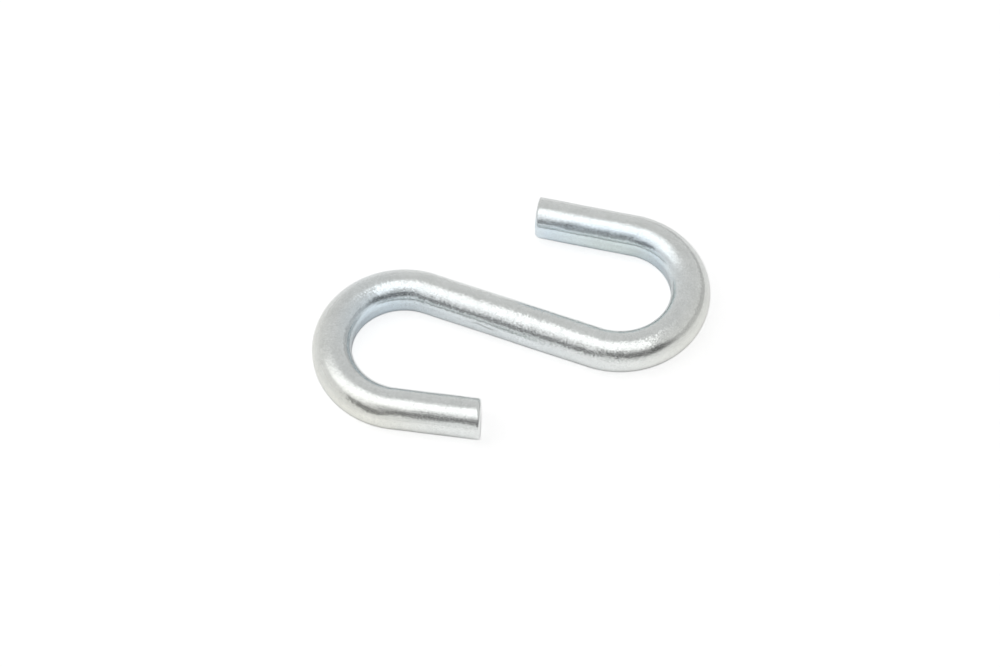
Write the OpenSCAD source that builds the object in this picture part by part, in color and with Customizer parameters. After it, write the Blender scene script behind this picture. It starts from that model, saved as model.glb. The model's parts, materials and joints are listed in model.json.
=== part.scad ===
// S hook, bent from one length of round wire, lying on its side.
// The wire leaves the first tail, turns round the first bend, runs down the
// slanting shank, turns the other way round the second bend and ends in the
// second tail. X is the line of pull, through the centres of both bends.
// Z = 0 is the surface that the hook lies on, and the origin is in the middle
// of the rectangle that the hook covers there.

/* [Wire] */
// Diameter of the straight wire
wire_d = 4; // [2:0.1:8]
// How much slimmer the wire is where it has been bent, across its diameter
bend_thinning = 0.04; // [0.02:0.01:0.2]
// Radius that rounds the rim of each cut end
rim_round = 0.25; // [0.05:0.05:0.5]

/* [Bends] */
// Radius inside both bends, where a ring or a rod rests
eye_r = 4.75; // [3:0.05:12]
// Angle that the wire turns through in the first bend
first_bend = 193; // [155:1:200]
// Angle that the wire turns through in the second bend
second_bend = 188; // [155:1:200]

/* [Straights] */
// Length of the straight shank between the bends
shank_length = 16.8; // [8:0.1:60]
// Length of the straight tail past the first bend
first_tail = 8.4; // [2:0.1:14]
// Length of the straight tail past the second bend
second_tail = 9.5; // [2:0.1:14]

/* [Hidden] */
$fn = 96;

wire_r = wire_d / 2;
// Radius of the wire's section in the bends
bent_r = wire_r - bend_thinning / 2;
// Radius of the wire's centre line in the bends
bend_r = eye_r + bent_r;
// Angle by which each bend's arc runs on inside the two straights that it joins
lap = 0.5;
// Distance between the centres of the two bends, along the line of pull
eye_spacing = sqrt(pow(shank_length, 2) + pow(2 * bend_r, 2));
// Angle between the shank and the line of pull
lean = atan2(2 * bend_r, shank_length);
// Direction from a bend's centre to the end of its arc at the shank
arc_start = 90 - lean;

zinc = [0.78, 0.80, 0.81];

// How far from the line of pull the tip of a tail reaches, past its own bend
function tip_reach(bend, tail) =
    let (heading = arc_start + bend + 90)
    bend_r * cos(heading) - (tail - rim_round) * sin(heading)
    + (wire_r - rim_round) * abs(cos(heading)) + rim_round;

// How far from the line of pull the hook reaches, on the side of that tail
function reach(bend, tail) = max(bend_r + bent_r, tip_reach(bend, tail));

// Half of a bar's outline, from its middle to its side, with the far rim rounded
module bar_outline(length) {
    square([wire_r - rim_round, length]);
    square([wire_r, length - rim_round]);
    translate([wire_r - rim_round, length - rim_round])
        circle(rim_round);
}

// A tail that starts at the origin and points along +Y
module tail(length) {
    rotate([-90, 0, 0])
        rotate_extrude()
            bar_outline(length);
}

// A bend about the origin, from the direction +X on, that ends in its tail
module hook_end(bend, tail_length) {
    rotate(-lap)
        rotate_extrude(angle = bend + 2 * lap)
            translate([bend_r, 0])
                circle(bent_r);
    rotate(bend)
        translate([bend_r, 0, 0])
            tail(tail_length);
}

// The straight wire that joins the two bends
module shank() {
    rotate(-lean)
        rotate([0, 90, 0])
            cylinder(r = wire_r, h = shank_length, center = true);
}

module hook() {
    middle_y = (reach(second_bend, second_tail) - reach(first_bend, first_tail)) / 2;
    color(zinc)
        translate([0, -middle_y, wire_r]) {
            shank();
            translate([-eye_spacing / 2, 0, 0])
                rotate(arc_start)
                    hook_end(first_bend, first_tail);
            translate([eye_spacing / 2, 0, 0])
                rotate(arc_start + 180)
                    hook_end(second_bend, second_tail);
        }
}

hook();
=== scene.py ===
# %% [markdown]
# # An S hook in plated wire
#
# The object is one length of 4 mm steel wire, bent into two open hooks and
# plated with bright zinc. It lies flat on a pale table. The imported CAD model
# fixes its true size and place, and this lesson gives it the surface and the
# light that the real thing has. All lengths are in metres.

# %% Load the frame
import json
import math

import bpy
import numpy as np
from mathutils import Matrix, Vector


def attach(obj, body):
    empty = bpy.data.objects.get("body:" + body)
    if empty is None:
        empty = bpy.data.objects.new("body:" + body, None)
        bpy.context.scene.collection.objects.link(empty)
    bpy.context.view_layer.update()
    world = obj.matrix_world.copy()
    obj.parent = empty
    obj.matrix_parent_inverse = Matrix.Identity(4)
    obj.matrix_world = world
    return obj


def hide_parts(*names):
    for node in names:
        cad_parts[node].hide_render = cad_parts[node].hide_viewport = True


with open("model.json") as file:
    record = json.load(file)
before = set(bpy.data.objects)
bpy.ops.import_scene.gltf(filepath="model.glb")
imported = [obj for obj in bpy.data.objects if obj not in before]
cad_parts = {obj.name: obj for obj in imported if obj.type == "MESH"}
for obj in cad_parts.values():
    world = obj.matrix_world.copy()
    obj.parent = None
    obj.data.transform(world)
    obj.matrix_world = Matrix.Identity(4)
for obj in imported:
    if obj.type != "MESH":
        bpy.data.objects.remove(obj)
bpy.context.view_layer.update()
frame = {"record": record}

mm = 0.001

# %% [markdown]
# ## Where the wire runs
#
# The CAD solid could keep its shape and only get a material. But a real bend is
# not a perfect ring: the wire flattens a little where it was pulled round the
# former, and its surface carries small marks. So the wire is worked out again
# as a surface of its own. Its course is read from the mounts in the record,
# which name the straight tails and the two saddles, so nothing is fitted.

# %% Read the two hook ends from the record
mounts = {mount["name"]: mount for mount in frame["record"]["mounts"]}
wire_r = mounts["first_tail"]["dims"]["r_mm"] * mm
# A tail's mount covers its straight wall, which ends where the rim's round starts.
rim_round = 0.25 * mm


def cross(a, b):
    """The signed area of the parallelogram between two plan vectors."""
    return a[0] * b[1] - a[1] * b[0]


def hook_end(name):
    """A hook end in plan: its bend's centre and radius, and its tail's joint and direction.

    The centre lies on the square line from the tail's joint, where that line
    meets the line of pull through the saddle."""
    tail, saddle = mounts[name + "_tail"], mounts[name + "_saddle"]
    direction = np.array(tail["axis"][:2])
    wall = tail["dims"]["length_mm"] * mm
    joint = np.array(tail["pos_m"][:2]) - direction * wall / 2
    pull = np.array(saddle["axis"][:2])
    square = np.array([-direction[1], direction[0]])
    radius = -cross(joint - saddle["pos_m"][:2], pull) / cross(square, pull)
    return {
        "centre": joint + square * radius,
        "radius": abs(radius),
        "joint": joint,
        "direction": direction,
        "tail": wall + rim_round,
    }


first, second = hook_end("first"), hook_end("second")
bend_r = (first["radius"] + second["radius"]) / 2
spacing = np.linalg.norm(second["centre"] - first["centre"])
shank = math.sqrt(spacing**2 - (2 * bend_r) ** 2)
lean = math.asin(2 * bend_r / spacing)
lengths = (bend_r, shank, first["tail"], second["tail"])
print("bend radius, shank and tails in mm:", [round(length / mm, 2) for length in lengths])

# %% [markdown]
# ## The centre line
#
# A bent wire is easy to say in words: go straight, turn, go straight, turn the
# other way, go straight. The centre line is that sentence as a function of the
# distance walked from the first tip. It could be a Bezier curve, but a line and
# an arc are what a bending tool makes, and they keep the CAD model's radius.

# %% Lengths along the wire
start_heading = math.atan2(-first["direction"][1], -first["direction"][0])
end_heading = math.atan2(second["direction"][1], second["direction"][0])
first_turn = (start_heading + lean) % (2 * math.pi)
second_turn = (end_heading + lean) % (2 * math.pi)
stretches = [
    (first["tail"], 0),
    (first_turn * bend_r, -1 / bend_r),
    (shank, 0),
    (second_turn * bend_r, 1 / bend_r),
    (second["tail"], 0),
]
wire_length = sum(length for length, curvature in stretches)
shank_start = first["tail"] + first_turn * bend_r
second_bend_start = shank_start + shank
second_tail_start = wire_length - second["tail"]
print("turns in degrees:", [round(math.degrees(turn), 1) for turn in (first_turn, second_turn)])
print("wire length in mm:", round(wire_length / mm, 2))

# %% Walk the wire


def steps_along(heading, curvature, along):
    """The steps in plan from a stretch's start to points some way along it.

    On a straight stretch a step is the way along times (cos h, sin h). On an arc
    of curvature c, from heading h0 to h, it is (sin h - sin h0, cos h0 - cos h) / c."""
    if curvature == 0:
        return along[:, None] * np.array([math.cos(heading), math.sin(heading)])
    reached = heading + curvature * along
    step_x = np.sin(reached) - math.sin(heading)
    step_y = math.cos(heading) - np.cos(reached)
    return np.stack([step_x, step_y], 1) / curvature


def centre_line(distance):
    """Plan points and headings at distances from the first tip.

    Each stretch starts where the last one ended, and its heading grows by its
    curvature times the way along it. A point past either tip is on the line that
    goes straight on from there."""
    place = np.zeros((len(distance), 2))
    heading = np.zeros(len(distance))
    start, start_angle, covered = first_tip, start_heading, 0.0
    for length, curvature in stretches:
        on_it = (distance >= covered) | (covered == 0)
        along = distance[on_it] - covered
        place[on_it] = start + steps_along(start_angle, curvature, along)
        heading[on_it] = start_angle + curvature * along
        start = start + steps_along(start_angle, curvature, np.array([length]))[0]
        start_angle = start_angle + curvature * length
        covered = covered + length
    return place, heading


first_tip = first["joint"] + first["direction"] * first["tail"]
second_tip = second["joint"] + second["direction"] * second["tail"]
walked_tip = centre_line(np.array([wire_length]))[0][0]
miss = np.linalg.norm(walked_tip - second_tip)
print("the walk misses the second tip by", round(miss / mm, 4), "mm")

# %% [markdown]
# ## The section of the wire
#
# Pulled round a former, the wire is stretched on the outside of the bend, which
# thins it there by about a hundredth. On the inside it is pressed against the
# former, which leaves a narrow flat band in place of the round. The change comes
# in gently at the start of each bend. Past the first bend the band fades out
# along the shank, and past the second it runs on to the tip, as it would if the
# tail had been pressed too. A scaled circle would thin both sides alike. This
# section has its own rule for each side.

# %% Shape of the section
former_depth = {"first": 0.085, "second": 0.095}
former_goes_on = {"first": 12 * mm, "second": 20 * mm}
former_narrowness = 12
outside_flat = {"first": 0.012, "second": 0.004}
ease_inside = 9 * mm
ease_outside = 6 * mm
bend_ends = {
    "first": (first["tail"], shank_start),
    "second": (second_bend_start, second_tail_start),
}


def smooth_step(x):
    """0 below 0, 1 above 1, and 3x^2 - 2x^3 between."""
    x = np.clip(x, 0, 1)
    return x * x * (3 - 2 * x)


def bend_weight(distance, which, ease, goes_on=0.0):
    """1 in the middle of one bend, easing to 0 at its ends, and 0 on the rest of the wire.

    It can go on for some way past the bend's far end."""
    start, end = bend_ends[which]
    return smooth_step(np.minimum(distance - start, end + goes_on - distance) / ease)


def pressed(inward, which):
    """The share of the radius that the former takes off: its depth times a high power of
    how much the point faces into the bend, which keeps it to a narrow band."""
    return former_depth[which] * np.clip(inward, 0, 1) ** former_narrowness


flat_depths = [round(depth * wire_r / mm, 2) for depth in former_depth.values()]
print("depth of the flat inside each bend in mm:", flat_depths)

# %% [markdown]
# ## Marks of making
#
# The plated surface is never quite true. It rolls by a few thousandths of a
# millimetre from the drawing and the tumbling, and those slopes are what makes
# the edge of a highlight wander. Sculpting or a displacement texture could do
# it. A sum of plane waves with fixed random directions is smooth, cheap and the
# same every time. The tails get a second, stronger set of waves, as wire has
# where it was held or knocked. One short groove lies low on the shank. It is
# deep enough to see, so it is shaped in the mesh as the rest is.

# %% Rolling surface
dice = np.random.default_rng(7)
drawn_waves = [(2.4 * mm, 0.003 * mm), (1.1 * mm, 0.0015 * mm)]
handling_wave = (1.2 * mm, 0.005 * mm)
handled_length = 12 * mm
handled_ease = 4 * mm


def rolling(points, wavelength, height, count=24):
    """The sum of plane waves with random directions and phases, about one wavelength
    long across the wire, give or take a third, and three times as long along it."""
    direction = dice.normal(size=(count, 3))
    direction /= np.linalg.norm(direction, axis=1)[:, None]
    stretch = np.array([1 / 3, 1, 1])
    waves = direction * stretch * (2 * math.pi / wavelength) * dice.uniform(0.7, 1.3, (count, 1))
    phase = dice.uniform(0, 2 * math.pi, count)
    return height * np.cos(points @ waves.T + phase).sum(1) * math.sqrt(2 / count)


print("wavelengths in mm:", [round(wave[0] / mm, 1) for wave in drawn_waves + [handling_wave]])

# %% Groove on the shank
scratch = {
    "at": shank_start + 0.37 * shank,
    "towards": math.radians(168),
    "long": 2.4 * mm,
    "wide": 0.24 * mm,
    "deep": 0.05 * mm,
    "sway": 0.045,
    "sway_rate": 3,
}


def scratched(distance, angle):
    """A smooth groove: the depth times the bell curve of the distances along and round
    the wire, with a slow wave in its course."""
    along = (distance - scratch["at"]) / (scratch["long"] / 2)
    course = scratch["towards"] + scratch["sway"] * np.sin(scratch["sway_rate"] * along)
    round_it = wire_r * ((angle - course + math.pi) % (2 * math.pi) - math.pi) / (scratch["wide"] / 2)
    return -scratch["deep"] * np.exp(-(along**4) - round_it**2)


print("groove, from the first tip in mm:", round(scratch["at"] / mm, 1))

# %% [markdown]
# ## Rings from tip to tip
#
# The wire is one grid: a ring of points at each station along it. At the cut
# ends the rings first grow across the face and then turn over its rim. Wire like
# this is sheared to length, so its ends are not square: the face leans a few
# degrees, and its rim is rolled over where the blade came in and sharp where the
# wire let go. A plain bevel would make every end alike. Here each point of a ring
# has its own distance along the wire, so the face can lean and the rim can vary.

# %% Cut ends
ring_points = 128
face_rings = 12
rim_rings = 6
collar_rings = 7
collar = 1.3 * mm
angles = np.linspace(0, 2 * math.pi, ring_points, endpoint=False) - math.pi / 2
# In degrees: how far the face leans, which side of it leads, and which side the blade
# came from. The rim's radius is "rim" plus or minus "roll", and the face's middle lies
# "past" the tip.
cuts = {
    "first": dict(lean=5.5, leads=0, past=0.0, rim=0.27 * mm, roll=0.10 * mm, blade=90),
    "second": dict(lean=3.5, leads=180, past=0.12 * mm, rim=0.35 * mm, roll=0.17 * mm, blade=-35),
}


def cut_end(cut):
    """Distances from the tip and shares of the radius, a row for each ring.

    A point of the face at radius r lies tan(lean) * r cos a ahead of the face's
    middle, with a the angle from the side that leads. The rim is a quarter circle
    on top of that, and the collar brings the rings back square to the wire."""
    rim = cut["rim"] + cut["roll"] * np.cos(angles - math.radians(cut["blade"]))
    across = np.linspace(0, 1, face_rings + 1)[1:, None] * (wire_r - rim)
    turn = np.linspace(0, math.pi / 2, rim_rings + 1)[1:, None]
    radius = np.concatenate([across, wire_r - rim * (1 - np.sin(turn))])
    over = np.concatenate([np.zeros_like(across), rim * (1 - np.cos(turn))])
    from_leading = angles - math.radians(cut["leads"])
    ahead = math.tan(math.radians(cut["lean"])) * radius * np.cos(from_leading)
    deep = over - ahead - cut["past"]
    square = np.linspace(0, 1, collar_rings + 1)[1:, None]
    deep = np.concatenate([deep, deep[-1] + (collar - deep[-1]) * square])
    radius = np.concatenate([radius, np.full((collar_rings, ring_points), wire_r)])
    return deep, radius / wire_r


first_deep, first_share = cut_end(cuts["first"])
second_deep, second_share = cut_end(cuts["second"])
print("rings at each cut end:", len(first_deep))

# %% Stations
ring_gap = 0.122 * mm
side_count = int((wire_length - 2 * collar) / ring_gap)
side = np.linspace(collar, wire_length - collar, side_count + 2)[1:-1]
side_rings = np.repeat(side[:, None], ring_points, axis=1)
station = np.concatenate([first_deep, side_rings, wire_length - second_deep[::-1]])
share = np.concatenate([first_share, np.ones_like(side_rings), second_share[::-1]])
print("rings:", len(station), "points:", station.size)

# %% [markdown]
# ## The surface
#
# Every point is the centre line's place, plus a step across the wire in the
# plane of the hook, plus a step up. The same point on the straight wire, before
# it was bent, is kept as an attribute. A pattern that was drawn into the wire
# can then follow it round the bends. A curve with a round bevel could sweep the
# wire too, but it has one section for its whole length, and this wire has many.

# %% Work out the points
highest_relief = 0.012 * mm


def wire_surface(station, share):
    """Points in the frame, and the same points on the straight wire.

    With a the angle round the ring, the point lies radius * cos(a) to the left
    of the heading and radius * sin(a) up. The stretched side loses the square of
    how much the point faces out of the bend, and the pressed side gets its flat.
    The radius also carries the rolling waves, the stronger waves near the tips and
    the groove, less the highest of them, so that the wire stays inside its size."""
    place, heading = centre_line(station.ravel())
    place = place.reshape(station.shape + (2,))
    heading = heading.reshape(station.shape)
    straight_y, straight_z = share * wire_r * np.cos(angles), share * wire_r * np.sin(angles)
    straight = np.stack([station, straight_y, straight_z], 2)
    flat = 0
    for which, outer_side in (("first", 1), ("second", -1)):
        out = outer_side * np.cos(angles)
        touched = bend_weight(station, which, ease_inside, former_goes_on[which])
        flat = flat + touched * pressed(-out, which)
        stretched = bend_weight(station, which, ease_outside) * np.clip(out, 0, 1) ** 2
        flat = flat + outside_flat[which] * stretched
    points = straight.reshape(-1, 3)
    relief = sum(rolling(points, *wave) for wave in drawn_waves)
    to_tip = np.minimum(station, wire_length - station)
    near_tip = smooth_step((handled_length - to_tip) / handled_ease)
    handled = rolling(points, *handling_wave).reshape(station.shape) * near_tip
    relief = relief.reshape(station.shape) + handled + scratched(station, angles)
    radius = share * (wire_r * (1 - flat) + relief - highest_relief)
    left = np.stack([-np.sin(heading), np.cos(heading)], 2)
    across = (radius * np.cos(angles))[:, :, None] * left
    height = wire_r + radius * np.sin(angles)
    return np.concatenate([place + across, height[:, :, None]], 2), straight


surface, straight = wire_surface(station, share)
print("surface box in mm:", np.round((surface.max((0, 1)) - surface.min((0, 1))) / mm, 2))

# %% [markdown]
# ## From grid to mesh
#
# Two neighbouring rings and two neighbouring points make a face. They could be
# added one by one with bmesh. Index arithmetic on the whole grid gives them all
# at once, in an order that is known, so values can be stored on the same grid.
# A centre point closes each cut face with a fan.

# %% Build the mesh


def grid_mesh(name, surface):
    """A closed tube from rings of points, with a fan to a centre point at each end."""
    rings, points = surface.shape[:2]
    index = np.arange(rings * points).reshape(rings, points)
    after = np.roll(index, -1, axis=1)
    quads = np.stack([index[:-1], after[:-1], after[1:], index[1:]], 2).reshape(-1, 4)
    centres = np.stack([surface[0].mean(0), surface[-1].mean(0)])
    low, high = rings * points, rings * points + 1
    start_fan = np.stack([index[0], np.full(points, low), after[0]], 1)
    end_fan = np.stack([index[-1], after[-1], np.full(points, high)], 1)
    corners = np.concatenate([surface.reshape(-1, 3), centres])
    faces = quads.tolist() + start_fan.tolist() + end_fan.tolist()
    mesh = bpy.data.meshes.new(name)
    mesh.from_pydata(corners.tolist(), [], faces)
    mesh.polygons.foreach_set("use_smooth", np.ones(len(mesh.polygons), bool))
    return mesh


hook_mesh = grid_mesh("s_hook", surface)
hook = bpy.data.objects.new("s_hook", hook_mesh)
bpy.context.scene.collection.objects.link(hook)
print("faces:", len(hook_mesh.polygons))

# %% Keep the straight wire on the mesh


def point_attribute(name, kind, values):
    """Stores one value a point. The two centre points take the mean of their ring."""
    flat = values.reshape((-1,) + values.shape[2:])
    ends = np.stack([values[0].mean(0), values[-1].mean(0)])
    attribute = hook_mesh.attributes.new(name, kind, "POINT")
    numbers = np.concatenate([flat, ends]).astype(np.float32).ravel()
    attribute.data.foreach_set("vector" if kind == "FLOAT_VECTOR" else "value", numbers)
    low, high = float(numbers.min()), float(numbers.max())
    print("attribute", name, "from", round(low, 3), "to", round(high, 3))


point_attribute("straight_wire", "FLOAT_VECTOR", straight)

# %% [markdown]
# ## Tints along the wire
#
# Over the zinc lies a thin clear coat that keeps it from dulling. The colour of
# the wire drifts from place to place: from pale straw, through grey, to a cool
# blue. Noise could tint the wire, but the drift is broad and gentle, so a few soft
# patches along the wire, some on one side only, say it better. They are stored as
# an attribute, as is where the groove is darker, and so is how deep the grain
# lies: the bends and the tails are smoother.

# %% Tint patches, darker groove and grain depth


def bell(middle, half_length):
    """The bell curve of the distance along the wire from a middle."""
    return np.exp(-(((station - middle) / half_length) ** 2))


to_left = np.clip(np.cos(angles), 0, 1)
to_right = np.clip(-np.cos(angles), 0, 1)
all_round = np.ones(ring_points)
# The middle of each patch, its half length, how much it shifts the tint, and on which side.
tint_ground = 0.62
tint_patches = [
    (first["tail"] + 2.5 * mm, 5 * mm, 0.34, to_left),
    (first["tail"] + 11 * mm, 4 * mm, 0.20, to_left),
    (shank_start - 6 * mm, 8 * mm, -0.29, to_right),
    (shank_start - 7 * mm, 4 * mm, -0.07, all_round),
    (shank_start + shank / 2, 8 * mm, -0.10, to_right),
    (second_bend_start + 9 * mm, 5 * mm, 0.25, to_right),
    (second_tail_start + 2 * mm, 8 * mm, -0.60, to_left),
]
# A level along the wire that picks the zinc's tint from the ramp below, in soft patches.
tint_shift = np.full(station.shape, tint_ground)
for middle, half_length, added, facing in tint_patches:
    tint_shift = tint_shift + added * bell(middle, half_length) * facing
point_attribute("tint_shift", "FLOAT", tint_shift)
# The groove's depth as a share, by which the zinc's colour is made darker below.
point_attribute("groove_darkening", "FLOAT", -scratched(station, angles) / scratch["deep"])

worn_smooth = 0.5
in_bends = bend_weight(station, "first", ease_outside) + bend_weight(station, "second", ease_outside)
past_shank = smooth_step(np.abs(station - wire_length / 2) / (shank / 2) - 1) - in_bends
grain_depth = 1 - worn_smooth * in_bends - worn_smooth * np.clip(past_shank, 0, 1)
point_attribute("grain_depth", "FLOAT", grain_depth)

# %% [markdown]
# ## Zinc
#
# Barrel-plated zinc is a metal with a fine crystal grain: shiny enough to show
# the lamp and the room as bands along the wire, and rough enough that the edge
# of each band breaks up into specks. A noise bump would roll too softly for
# that. The grain is a cell pattern instead, which cuts the surface into small
# flat facets, each leaning its own way and a little lighter or darker than the
# next. The faint drawing lines are noise, squeezed along the straight wire.

# %% Node helpers


def feed(tree, socket, value):
    """Links an output socket to an input, or sets the input to a number or a vector."""
    if isinstance(value, bpy.types.NodeSocket):
        tree.links.new(value, socket)
    else:
        socket.default_value = value


def new_group(name, inputs, outputs):
    """An empty shader node group with named sockets, and its input and output nodes."""
    group = bpy.data.node_groups.new(name, "ShaderNodeTree")
    for socket, kind, value in inputs:
        made = group.interface.new_socket(socket, in_out="INPUT", socket_type=kind)
        if value is not None:
            made.default_value = value
    for socket, kind in outputs:
        group.interface.new_socket(socket, in_out="OUTPUT", socket_type=kind)
    return group, group.nodes.new("NodeGroupInput"), group.nodes.new("NodeGroupOutput")


def add(tree, kind, inputs=None, **settings):
    """A node of a kind with its settings, and what feeds its inputs, by name or number."""
    node = tree.nodes.new(kind)
    for key, value in settings.items():
        setattr(node, key, value)
    for key, value in (inputs or {}).items():
        feed(tree, node.inputs[key], value)
    return node


def math_node(tree, operation, *operands):
    """The result of a Math node. Each operand is a number or an output socket."""
    return add(tree, "ShaderNodeMath", dict(enumerate(operands)), operation=operation).outputs[0]


def vector_node(tree, operation, first_operand, second_operand):
    """The vector that a Vector Math node makes. SCALE takes a number second, the rest a vector."""
    second_input = "Scale" if operation == "SCALE" else 1
    operands = {0: first_operand, second_input: second_operand}
    return add(tree, "ShaderNodeVectorMath", operands, operation=operation).outputs[0]


def measure_node(tree, operation, first_operand, second_operand):
    """The number that a Vector Math node makes from two vectors."""
    operands = {0: first_operand, 1: second_operand}
    return add(tree, "ShaderNodeVectorMath", operands, operation=operation).outputs["Value"]


def ramp(tree, value, low, high):
    """A smooth rise from 0 at low to 1 at high; low may be the larger."""
    inputs = {"Value": value, "From Min": low, "From Max": high}
    return add(tree, "ShaderNodeMapRange", inputs, interpolation_type="SMOOTHSTEP").outputs[0]


# %% Grain group
grains_per_metre = 7000.0
clouds_per_grain = 0.08
grain_group, inside, outside = new_group(
    "plating_grain",
    [("Vector", "NodeSocketVector", None), ("Grains per Metre", "NodeSocketFloat", grains_per_metre)],
    [("Tilt", "NodeSocketFloat"), ("Speckle", "NodeSocketFloat"), ("Cloud", "NodeSocketFloat")],
)
place, density = inside.outputs["Vector"], inside.outputs["Grains per Metre"]
# A facet's height is how far the point lies from its cell's middle, along the way it leans.
cells = add(grain_group, "ShaderNodeTexVoronoi", {"Vector": place, "Scale": density})
here = vector_node(grain_group, "SCALE", place, density)
cell_middle = vector_node(grain_group, "SCALE", cells.outputs["Position"], density)
from_middle = vector_node(grain_group, "SUBTRACT", here, cell_middle)
lean_way = vector_node(grain_group, "SUBTRACT", cells.outputs["Color"], (0.5, 0.5, 0.5))
facet = measure_node(grain_group, "DOT_PRODUCT", from_middle, lean_way)
cell_shade = add(grain_group, "ShaderNodeSeparateColor", {0: cells.outputs["Color"]}).outputs[0]
clouds_per_metre = math_node(grain_group, "MULTIPLY", density, clouds_per_grain)
cloud_inputs = {"Vector": place, "Scale": clouds_per_metre, "Detail": 3.0, "Roughness": 0.55}
cloud = add(grain_group, "ShaderNodeTexNoise", cloud_inputs).outputs[0]
feed(grain_group, outside.inputs["Tilt"], facet)
feed(grain_group, outside.inputs["Speckle"], cell_shade)
feed(grain_group, outside.inputs["Cloud"], cloud)
print("a grain is about", round(1 / grains_per_metre / mm, 2), "mm across")

# %% Drawing lines group
lines_along, lines_across = 350.0, 5000.0
lines_group, inside, outside = new_group(
    "drawing_lines",
    [("Straight Wire", "NodeSocketVector", None)],
    [("Height", "NodeSocketFloat")],
)
squeeze = (lines_along, lines_across, lines_across)
squeezed = vector_node(lines_group, "MULTIPLY", inside.outputs["Straight Wire"], squeeze)
line_inputs = {"Vector": squeezed, "Scale": 1.0, "Detail": 2.0, "Roughness": 0.5}
lines = add(lines_group, "ShaderNodeTexNoise", line_inputs).outputs[0]
feed(lines_group, outside.inputs["Height"], lines)
print("a line is about", round(lines_across / lines_along), "times as long as it is wide")

# %% Zinc material
zinc = bpy.data.materials.new("bright_zinc")
zinc.use_nodes = True
tree = zinc.node_tree
zinc_shader = tree.nodes["Principled BSDF"]
zinc_shader.inputs["Metallic"].default_value = 1.0
position = add(tree, "ShaderNodeTexCoord").outputs["Object"]
grain = add(tree, "ShaderNodeGroup", node_tree=grain_group)
feed(tree, grain.inputs["Vector"], position)


def stored(name, output="Fac"):
    """What an attribute of the mesh says at each point."""
    return add(tree, "ShaderNodeAttribute", attribute_name=name).outputs[output]


def by_mask(mask, ground, change):
    """A value that is the ground where the mask is 0, and changes with it."""
    return math_node(tree, "MULTIPLY_ADD", mask, change, ground)


# %% Tint of the zinc
zinc_grey = 0.80
ramp_stops = [
    (0.0, (0.90, 1.00, 0.985)),
    (0.3, (0.885, 1.00, 1.075)),
    (0.6, (0.97, 1.00, 0.99)),
    (1.0, (1.00, 1.00, 0.92)),
]
tint = add(tree, "ShaderNodeValToRGB", {"Fac": stored("tint_shift")})
stops = tint.color_ramp.elements
while len(stops) < len(ramp_stops):
    stops.new(0.5)
for stop, (at, colour) in zip(stops, ramp_stops):
    stop.position = at
    stop.color = [channel * zinc_grey for channel in colour] + [1]
print("the zinc reflects", zinc_grey, "of the light, in", len(stops), "tints")

# %% Brightness and roughness
speckled = by_mask(grain.outputs["Speckle"], ground=0.958, change=0.085)
clouded = by_mask(grain.outputs["Cloud"], ground=0.90, change=0.20)
# The colour is darker in the groove, by as much as the groove is deep.
darker_in_groove = by_mask(stored("groove_darkening"), ground=1.0, change=-0.45)
brightness = math_node(tree, "MULTIPLY", speckled, clouded)
brightness = math_node(tree, "MULTIPLY", brightness, darker_in_groove)
shaded = vector_node(tree, "SCALE", tint.outputs["Color"], brightness)
smoothest, cloud_roughness = 0.12, 0.08
roughness = by_mask(grain.outputs["Cloud"], smoothest, cloud_roughness)
feed(tree, zinc_shader.inputs["Base Color"], shaded)
feed(tree, zinc_shader.inputs["Roughness"], roughness)
print("roughness from", smoothest, "to", smoothest + cloud_roughness)

# %% Grain and drawing lines as bumps
grain_height = 0.019 * mm
line_height = 0.004 * mm
drawn = add(tree, "ShaderNodeGroup", node_tree=lines_group)
feed(tree, drawn.inputs["Straight Wire"], stored("straight_wire", "Vector"))
facets = math_node(tree, "MULTIPLY", grain.outputs["Tilt"], stored("grain_depth"))
grain_inputs = {"Strength": 1.0, "Distance": grain_height, "Height": facets}
grain_bump = add(tree, "ShaderNodeBump", grain_inputs).outputs["Normal"]
drawn_inputs = {"Strength": 1.0, "Distance": line_height, "Normal": grain_bump}
drawn_inputs["Height"] = drawn.outputs["Height"]
line_bump = add(tree, "ShaderNodeBump", drawn_inputs).outputs["Normal"]
feed(tree, zinc_shader.inputs["Normal"], line_bump)
hook_mesh.materials.append(zinc)
print("nodes in the zinc:", len(tree.nodes))

# %% [markdown]
# ## The camera
#
# The hook is seen from above and slightly to its left, through a long lens, as
# in a close-up for a catalogue. A short lens close by would swell the near bend.
# The camera could be held on the hook by a constraint. Its three axes are worked
# out instead, because the room below is laid out along the same directions.

# %% Camera
view_azimuth = math.radians(-17.43)
view_elevation = math.radians(56.71)
view_distance = 0.45
lens = 170.2
aim_left, aim_down = 1.13 * mm, 1.235 * mm
away = np.array([-math.sin(view_azimuth), math.cos(view_azimuth), 0.0])
right = np.array([math.cos(view_azimuth), math.sin(view_azimuth), 0.0])
above = np.array([0, 0, 1.0])
towards_camera = -away * math.cos(view_elevation) + above * math.sin(view_elevation)
up = np.cross(towards_camera, right)
shank_middle = np.array([0, first["centre"][1], wire_r])
aim = shank_middle - right * aim_left - up * aim_down
camera_data = bpy.data.cameras.new("camera")
camera_data.lens = lens
camera_data.clip_start = 0.01
camera_data.clip_end = 10
camera = bpy.data.objects.new("camera", camera_data)
bpy.context.scene.collection.objects.link(camera)
bpy.context.scene.camera = camera
axes = Matrix([right.tolist(), up.tolist(), towards_camera.tolist()]).transposed()
camera.matrix_world = Matrix.Translation(Vector(aim + towards_camera * view_distance)) @ axes.to_4x4()
print("camera at", np.round(np.array(camera.matrix_world.translation), 3))

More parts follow.
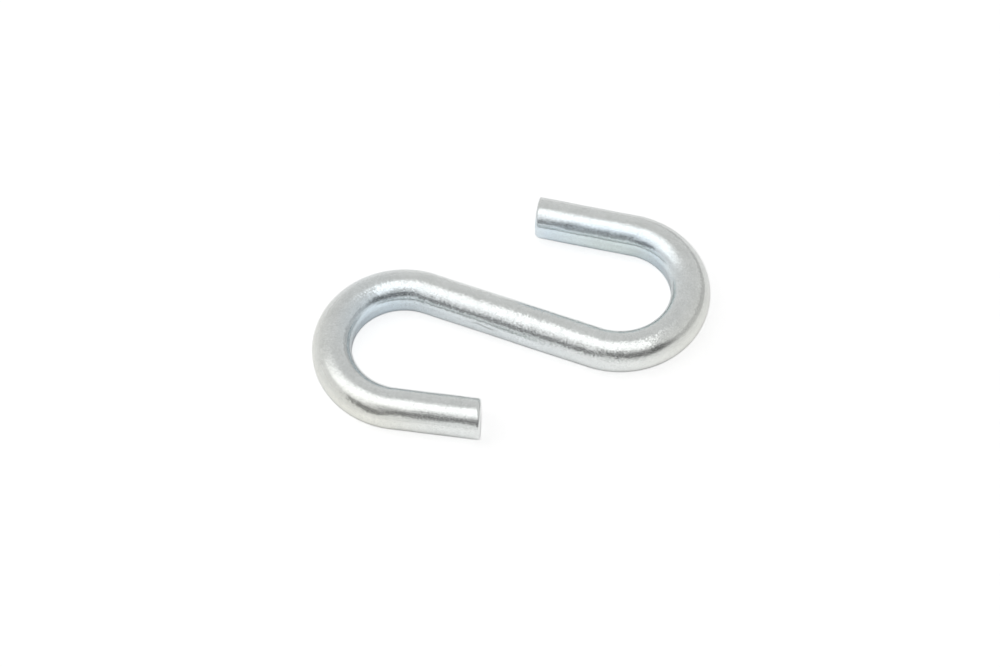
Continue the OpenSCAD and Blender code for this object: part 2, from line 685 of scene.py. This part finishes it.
# %% [markdown]
# ## The room
#
# A wire this bright is mostly a picture of what stands around it. A softbox
# hangs overhead, a little to the left, and each of its four edges fades in its
# own way. The walls are pale grey. Three soft dark shapes on them stand for the
# camera with its stand, the stand's arm, and a doorway. Lamps and cards could be
# built for all of this. The world can hold it too, as a few soft-edged masks on
# the direction of a ray, and it lights the part evenly and without noise. The
# numbers come from fitting this kind of room to the bands of light that a real
# wire shows, so they are estimates, rounded.

# %% Directions in the room
world = bpy.data.worlds.new("studio")
bpy.context.scene.world = world
world.use_nodes = True
room = world.node_tree
ray_direction = add(room, "ShaderNodeTexCoord").outputs["Generated"]
degrees = 180 / math.pi


def reach(axis):
    """How far a ray's direction reaches along a unit axis: the dot product of the two."""
    return measure_node(room, "DOT_PRODUCT", ray_direction, axis.tolist())


def times(*values):
    """The product of several values."""
    result = values[0]
    for value in values[1:]:
        result = math_node(room, "MULTIPLY", result, value)
    return result


azimuth = times(math_node(room, "ARCTAN2", reach(right), reach(-away)), degrees)
zenith_angle = times(math_node(room, "ARCCOSINE", reach(above)), degrees)

# %% Softbox mask


def softbox_edge(bearing, offset, fade):
    """1 on the lamp's side of one edge and 0 beyond, with a soft fade of so many degrees.

    The bearing, in degrees from the right and anticlockwise in plan, is the way
    the edge faces, and the offset is its distance from overhead as a share of
    the lamp's height. The edge and the hook span a plane. The dot product with
    its unit normal is the sine of the angle from that plane."""
    bearing = math.radians(bearing)
    outward = right * math.cos(bearing) + away * math.sin(bearing)
    normal = (offset * above - outward) / math.hypot(1, offset)
    half = math.sin(math.radians(fade / 2))
    return ramp(room, reach(normal), -half, half)


softbox_edges = {
    "left": dict(bearing=190, offset=1.55, fade=14),
    "right": dict(bearing=25, offset=0.26, fade=6),
    "front": dict(bearing=-99, offset=0.62, fade=48),
    "back": dict(bearing=92, offset=0.38, fade=24),
}
softbox = times(*[softbox_edge(**edge) for edge in softbox_edges.values()])
print("softbox edges:", ", ".join(softbox_edges))

# %% Dark shapes in front
oval_rim, oval_core = 1.93, 0.46


def light_left(facing, down, half_turn, half_height, slope, darkness):
    """1 away from a soft dark oval on the walls, and 1 - darkness in its middle.

    The oval's middle is a turn from the front and an angle down from overhead,
    both in degrees. The slope lowers it towards the right. The square of the
    share of the way to its edge is (turn / half turn)^2 + (height / half height)^2,
    and it darkens from the rim's value of that to the core's."""
    beside = math_node(room, "SUBTRACT", azimuth, facing)
    axis_height = math_node(room, "MULTIPLY_ADD", beside, slope, down)
    below = math_node(room, "SUBTRACT", zenith_angle, axis_height)
    shares = times(beside, 1 / half_turn), times(below, 1 / half_height)
    squares = [math_node(room, "POWER", math_node(room, "ABSOLUTE", share), 2) for share in shares]
    oval = ramp(room, math_node(room, "ADD", *squares), oval_rim, oval_core)
    return math_node(room, "MULTIPLY_ADD", oval, -darkness, 1.0)


dark_shapes = {
    "camera": dict(facing=15, down=53, half_turn=41, half_height=24, slope=0.16, darkness=0.78),
    "arm": dict(facing=-42, down=68.5, half_turn=21, half_height=12, slope=0.11, darkness=0.74),
    "doorway": dict(facing=100, down=75, half_turn=72, half_height=12.5, slope=0.25, darkness=0.32),
}
unshaded = [light_left(**shape) for shape in dark_shapes.values()]
print("dark shapes:", ", ".join(dark_shapes))

# %% Light of the room
wall_light = 0.82
darker_behind = 0.074
darker_above = 0.162
softbox_light = 1.415
walls = math_node(room, "MULTIPLY_ADD", reach(away), -darker_behind, wall_light)
walls = math_node(room, "MULTIPLY_ADD", reach(above), -darker_above, walls)
walls = times(walls, *unshaded)
lit = add(room, "ShaderNodeMix", {0: softbox, 2: walls, 3: softbox_light}, data_type="FLOAT")
seen_directly = add(room, "ShaderNodeLightPath").outputs["Is Camera Ray"]
shown = add(room, "ShaderNodeMix", {0: seen_directly, 2: lit.outputs[0], 3: 1.0}, data_type="FLOAT")
feed(room, room.nodes["Background"].inputs["Strength"], shown.outputs[0])
feed(room, room.nodes["Background"].inputs["Color"], (1, 1, 1, 1))
bpy.context.scene.view_settings.view_transform = "Standard"
print("nodes in the room:", len(room.nodes))

# %% [markdown]
# ## The table
#
# The hook lies on white paper. Under this light, paper comes out as a pale grey,
# and more lamps would burn out the metal. So the paper adds the missing light of
# its own, and only for what looks at it. The camera gets enough to see it white,
# with more where the hook keeps the room's light off, so that the shadow left
# under the wire is soft. The metal gets less, in a pool round the hook that
# fades where the two touch.

# %% Table
table_reach = 3.0
paper_white = 0.85
paper_roughness = 0.9
square = [(-1, -1), (1, -1), (1, 1), (-1, 1)]
corners = [(x * table_reach, y * table_reach, 0) for x, y in square]
table_mesh = bpy.data.meshes.new("table")
table_mesh.from_pydata(corners, [], [(0, 1, 2, 3)])
table = bpy.data.objects.new("table", table_mesh)
bpy.context.scene.collection.objects.link(table)
paper = bpy.data.materials.new("white_paper")
paper.use_nodes = True
tree = paper.node_tree
paper_shader = tree.nodes["Principled BSDF"]
paper_shader.inputs["Base Color"].default_value = (paper_white, paper_white, paper_white, 1)
paper_shader.inputs["Roughness"].default_value = paper_roughness
paper_shader.inputs["Specular IOR Level"].default_value = 0.0
paper_shader.inputs["Emission Color"].default_value = (1, 1, 1, 1)
table_mesh.materials.append(paper)
print("table in m:", 2 * table_reach)

# %% What the camera sees of the paper
shadow_reach = 10 * mm
open_fill, covered_fill, covered_power = 0.36, 0.48, 1.5
rays = add(tree, "ShaderNodeLightPath").outputs
open_sky = add(tree, "ShaderNodeAmbientOcclusion", {"Distance": shadow_reach}).outputs["AO"]
covered = math_node(tree, "SUBTRACT", 1.0, open_sky)
covered = math_node(tree, "POWER", covered, covered_power)
filled = math_node(tree, "MULTIPLY_ADD", covered, covered_fill, open_fill)
to_camera = math_node(tree, "MULTIPLY", filled, rays["Is Camera Ray"])
print("the camera gets", open_fill, "of white from open paper, besides the room's light")

# %% What the metal sees of the paper
pool_forward = 10 * mm
pool_middle = -away * pool_forward
pool_edge, pool_core = 33 * mm, 13 * mm
touching, clear_of_it = 0.35, 0.82
paper_glow, pool_glow = 0.15, 0.18
on_paper = add(tree, "ShaderNodeTexCoord").outputs["Object"]
from_pool = measure_node(tree, "DISTANCE", on_paper, pool_middle.tolist())
pool = ramp(tree, from_pool, pool_edge, pool_core)
glow = math_node(tree, "MULTIPLY_ADD", pool, pool_glow, paper_glow)
glow = math_node(tree, "MULTIPLY", glow, ramp(tree, open_sky, touching, clear_of_it))
mirrored = math_node(tree, "MAXIMUM", rays["Is Glossy Ray"], rays["Is Transmission Ray"])
to_metal = math_node(tree, "MULTIPLY", glow, mirrored)
own_light = math_node(tree, "ADD", to_camera, to_metal)
feed(tree, paper_shader.inputs["Emission Strength"], own_light)
print("nodes in the paper:", len(tree.nodes))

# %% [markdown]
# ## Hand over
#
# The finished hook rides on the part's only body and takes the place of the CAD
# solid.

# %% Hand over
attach(hook, "root")
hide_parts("hook")
